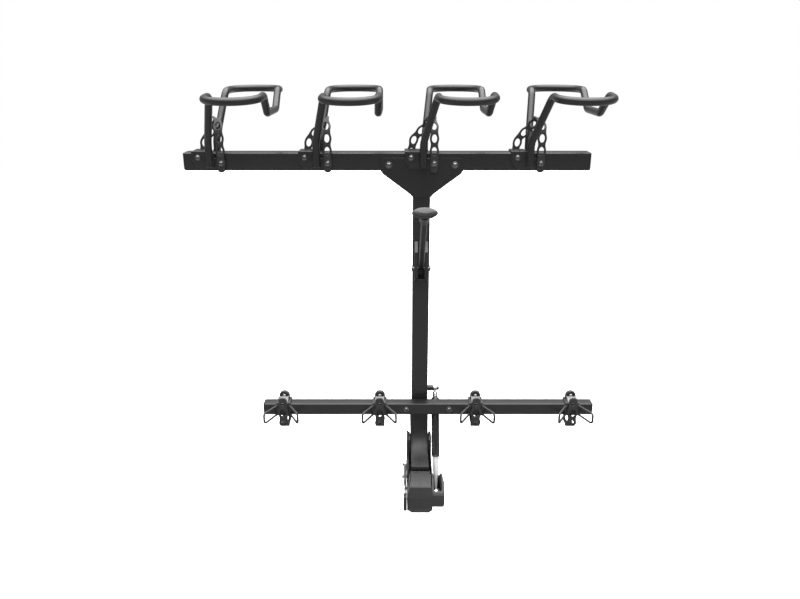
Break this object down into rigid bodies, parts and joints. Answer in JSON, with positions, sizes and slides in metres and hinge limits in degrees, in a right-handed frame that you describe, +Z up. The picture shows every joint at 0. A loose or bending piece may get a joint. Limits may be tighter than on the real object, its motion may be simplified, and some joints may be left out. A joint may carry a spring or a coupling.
{
  "type": "hitch mounted bike rack",
  "caption": "Tilting hitch rack that hangs bicycles upright: wheel hoops on a top crossbar, rear wheel holders on a lower crossbar, and a foot latch on the stinger.",
  "frame": {"origin": "on the stinger's top face, on its centreline, under the middle of the mast", "axes": "+X to the right seen from behind the vehicle, +Y towards the vehicle, +Z up"},
  "size_m": [1.2356, 0.6872, 1.2662],
  "materials": {
    "black_steel": "satin black powder coat",
    "black_plastic": "fine grained moulded plastic",
    "rubber": "matte",
    "dark_bolt": "black oxide, oiled",
    "zinc": "zinc plated",
    "chrome": "hard chrome",
    "grey_plastic": "matte grey moulded plastic"
  },
  "bodies": {
    "base": {"stinger_tube": "black_steel", "cover_left": "black_plastic", "cover_right": "black_plastic", "pivot_bolt": "dark_bolt", "pivot_nut": "dark_bolt", "pivot_bush_left": "grey_plastic", "pivot_bush_right": "grey_plastic", "damper_bracket": "black_steel", "pedal_stud": "dark_bolt"},
    "mast": {"top_crossbar": "black_steel", "top_cap_left": "black_plastic", "top_cap_right": "black_plastic", "mast_tube": "black_steel", "mast_foot": "black_steel", "hub_plate_left": "black_steel", "hub_plate_right": "black_steel", "latch_keeper": "zinc", "gusset_front": "black_steel", "gusset_rear": "black_steel", "gusset_bolt_left": "dark_bolt", "gusset_bolt_right": "dark_bolt", "lower_crossbar": "black_steel", "lower_cap_left": "black_plastic", "lower_cap_right": "black_plastic", "lower_bar_bracket": "black_steel", "lower_bolt_left": "dark_bolt", "lower_bolt_right": "dark_bolt", "handle_channel": "black_steel", "handle_pin": "dark_bolt", "damper_stud": "dark_bolt", "wheel_cradle_1": "black_steel", "front_strap_1": "rubber", "wheel_holder_1": "black_plastic", "rear_strap_1": "rubber", "wheel_cradle_2": "black_steel", "front_strap_2": "rubber", "wheel_holder_2": "black_plastic", "rear_strap_2": "rubber", "wheel_cradle_3": "black_steel", "front_strap_3": "rubber", "wheel_holder_3": "black_plastic", "rear_strap_3": "rubber", "wheel_cradle_4": "black_steel", "front_strap_4": "rubber", "wheel_holder_4": "black_plastic", "rear_strap_4": "rubber"},
    "handle": {"handle_lever": "black_steel", "handle_grip": "rubber"},
    "damper": {"damper_cylinder": "black_steel"},
    "rod": {"damper_rod": "chrome", "damper_lower_pin": "dark_bolt"},
    "latch": {"latch_axle": "dark_bolt", "latch_pawl": "zinc", "release_lever": "zinc", "release_bolt": "dark_bolt"},
    "pedal": {"tilt_pedal": "rubber"},
    "wedge": {"hitch_wedge": "black_steel"},
    "wedge_screw": {"wedge_bolt": "zinc"}
  },
  "joints": [
    {"name": "mast_tilt", "type": "hinge", "parent": "base", "child": "mast", "pos_m": [0, -0.175, -0.0354], "axis": [1, 0, 0], "range_deg": [0, 45]},
    {"name": "damper_swing", "type": "hinge", "parent": "mast", "child": "damper", "pos_m": [0.0518, 0.022, 0.2321], "axis": [1, 0, 0], "range_deg": [-1.7, 0]},
    {"name": "rod_slide", "type": "slide", "parent": "damper", "child": "rod", "axis": [0, -0.5049, -0.8632], "range_m": [0, 0.0248]},
    {"name": "handle_fold", "type": "hinge", "parent": "mast", "child": "handle", "pos_m": [0, -0.042, 0.6606], "axis": [1, 0, 0], "range_deg": [-40, 85]},
    {"name": "pedal_press", "type": "hinge", "parent": "base", "child": "pedal", "pos_m": [0, -0.13, -0.0504], "axis": [1, 0, 0], "range_deg": [0, 18], "stiffness_Nm_per_rad": 1, "springref_deg": -20.05},
    {"name": "latch_release", "type": "hinge", "parent": "base", "child": "latch", "pos_m": [0, -0.1, -0.0254], "axis": [1, 0, 0], "range_deg": [0, 25.3]},
    {"name": "wedge_bolt_turn", "type": "hinge", "parent": "base", "child": "wedge_screw", "pos_m": [0, 0.3453, -0.0254], "axis": [0, -1, 0], "range_deg": [0, 361]},
    {"name": "wedge_slide", "type": "slide", "parent": "base", "child": "wedge", "axis": [0, -0.5, -0.866], "range_m": [0, 0.0018]}
  ],
  "couplings": [
    {"joint": "damper_swing", "follows": "mast_tilt", "ratio": -0.037688},
    {"joint": "rod_slide", "follows": "mast_tilt", "m_per_rad": 0.031549},
    {"joint": "latch_release", "follows": "pedal_press", "ratio": 1.4},
    {"joint": "wedge_bolt_turn", "follows": "wedge_slide", "rad_per_m": 3490.7}
  ]
}
